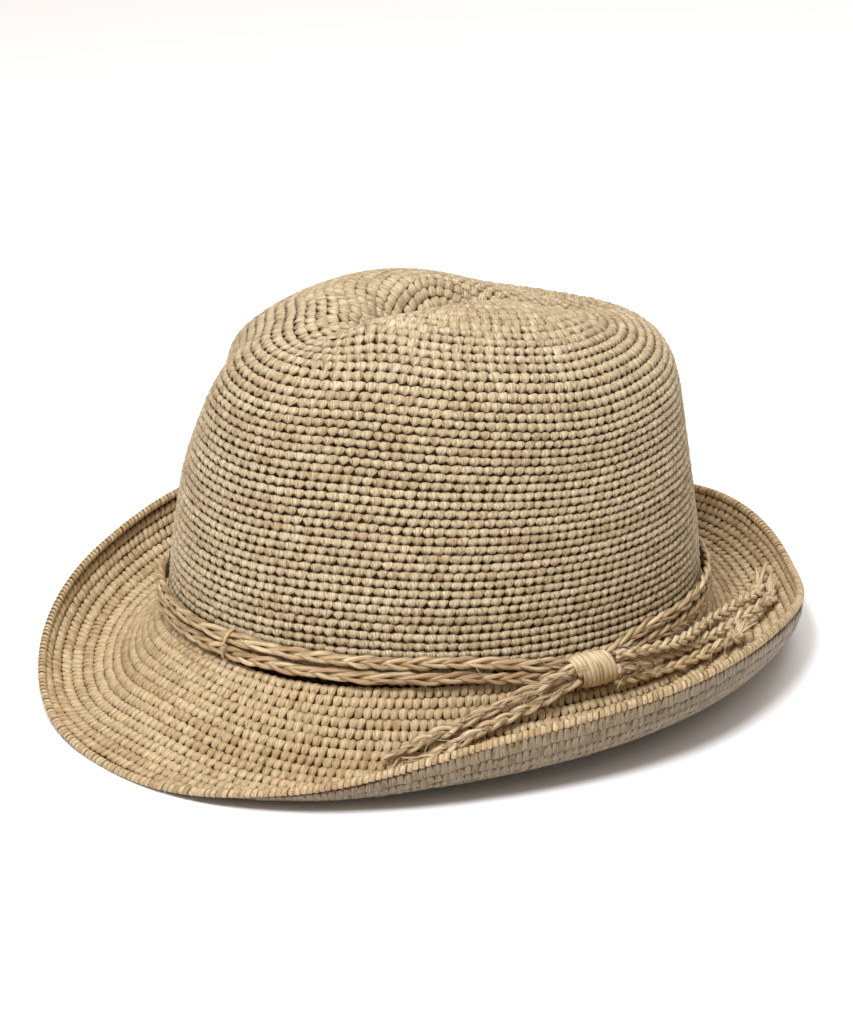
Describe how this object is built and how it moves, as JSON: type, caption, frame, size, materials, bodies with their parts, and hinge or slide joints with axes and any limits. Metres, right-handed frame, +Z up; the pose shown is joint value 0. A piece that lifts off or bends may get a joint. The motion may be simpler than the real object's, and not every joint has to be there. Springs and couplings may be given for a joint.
{
  "type": "crocheted raffia trilby hat with a plaited cord band",
  "caption": "Crocheted raffia trilby with a creased, pinched crown, a short brim turned up at the sides and rear, and a plaited cord band tied at the side.",
  "frame": {"origin": "centre of the bounding box at the surface that the hat rests on", "axes": "+Z up, -Y the front of the hat, +X the wearer's left, where the band is tied"},
  "size_m": [0.255, 0.2928, 0.1394],
  "materials": {
    "crown_raffia": "natural raffia, matt with a faint sheen along the fibres",
    "brim_raffia": "natural raffia, matt with a faint sheen along the fibres",
    "cord_raffia": "plaited natural raffia, a little shinier than the crochet"
  },
  "bodies": {
    "root": {"crown": "crown_raffia", "brim": "brim_raffia", "brim_edge": "brim_raffia", "band_cord_upper": "cord_raffia", "band_cord_lower": "cord_raffia", "knot_wrap": "cord_raffia", "tail_front_upper": "cord_raffia", "tail_front_lower": "cord_raffia", "tail_rear_upper": "cord_raffia", "tail_rear_lower": "cord_raffia", "tail_rear_short": "cord_raffia"}
  },
  "joints": []
}
